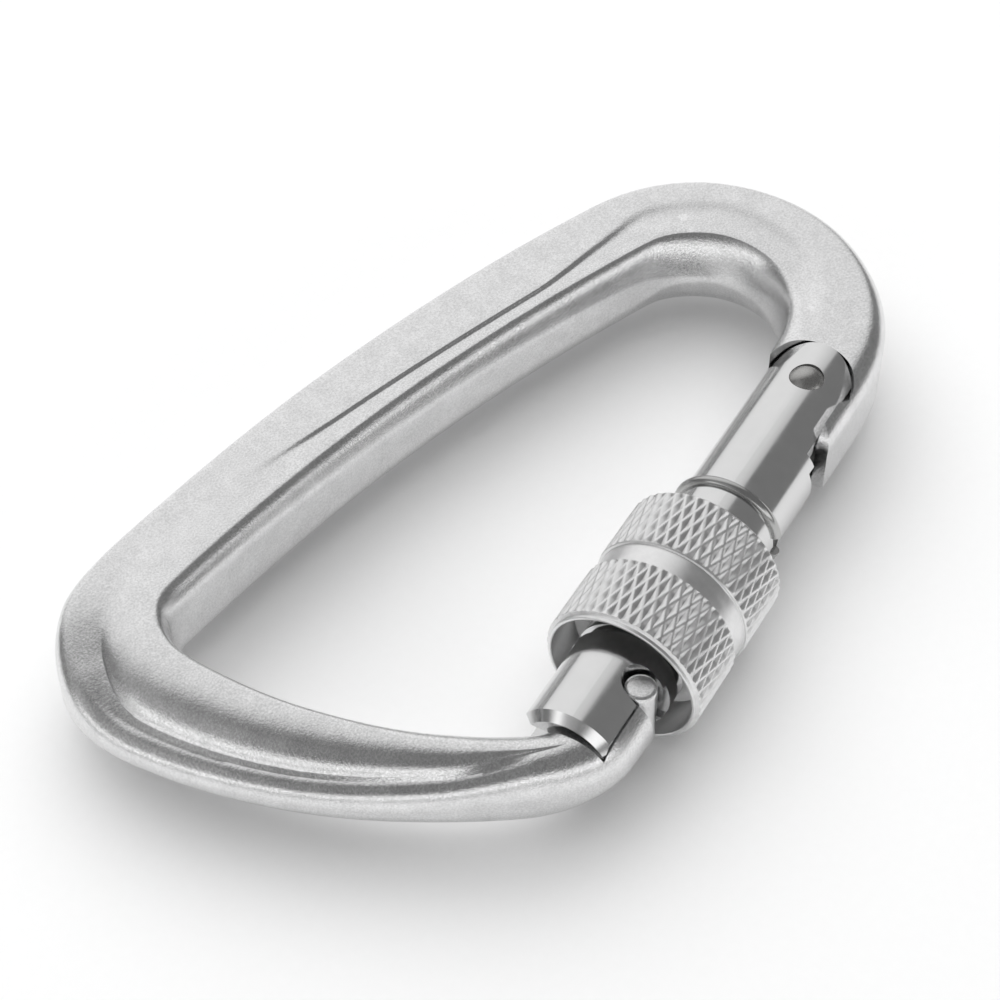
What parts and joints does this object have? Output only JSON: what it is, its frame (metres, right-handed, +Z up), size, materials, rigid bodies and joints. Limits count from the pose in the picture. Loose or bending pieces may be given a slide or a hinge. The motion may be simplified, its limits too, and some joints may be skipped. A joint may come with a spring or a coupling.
{
  "type": "locking carabiner",
  "caption": "Offset-D aluminium carabiner with a riveted spring gate and a knurled screw-lock sleeve.",
  "frame": {"origin": "under the middle of the carabiner lying flat, at the level of the sleeve's lowest line", "axes": "+X along the length towards the hinge, +Y towards the spine, +Z up through the opening"},
  "size_m": [0.1036, 0.0572, 0.0177],
  "materials": {
    "forged_aluminium": "satin, bead blasted",
    "polished_aluminium": "polished",
    "sleeve_aluminium": "polished, knurled",
    "rivet_steel": "polished",
    "spring_steel": "bright",
    "ring_plastic": "matt"
  },
  "bodies": {
    "frame": {"frame": "forged_aluminium"},
    "gate": {"gate": "polished_aluminium", "hinge_pin": "rivet_steel", "stop_ring": "spring_steel", "gate_spring": "spring_steel"},
    "plunger": {"spring_plunger": "rivet_steel"},
    "carrier": {"friction_ring": "ring_plastic"},
    "sleeve": {"locking_sleeve": "sleeve_aluminium"}
  },
  "joints": [
    {"name": "gate_swing", "type": "hinge", "parent": "frame", "child": "gate", "pos_m": [0.03002, -0.01134, 0.00884], "axis": [0, 0, -1], "range_deg": [0, 25], "stiffness_Nm_per_rad": 0.5, "springref_deg": -28.65},
    {"name": "plunger_slide", "type": "slide", "parent": "gate", "child": "plunger", "axis": [-0.9781, -0.2079, 0], "range_m": [0, 0.0011], "deforming": ["gate_spring"]},
    {"name": "sleeve_turn", "type": "hinge", "parent": "carrier", "child": "sleeve", "pos_m": [-0.00128, -0.01799, 0.00884], "axis": [0.9781, 0.2079, 0], "range_deg": [-720, 702]},
    {"name": "sleeve_travel", "type": "slide", "parent": "gate", "child": "carrier", "axis": [0.9781, 0.2079, 0], "range_m": [-0.004, 0.0039]}
  ],
  "couplings": [
    {"joint": "plunger_slide", "follows": "gate_swing", "m_per_rad": 0.0025},
    {"joint": "sleeve_travel", "follows": "sleeve_turn", "m_per_rad": 0.00031831}
  ]
}
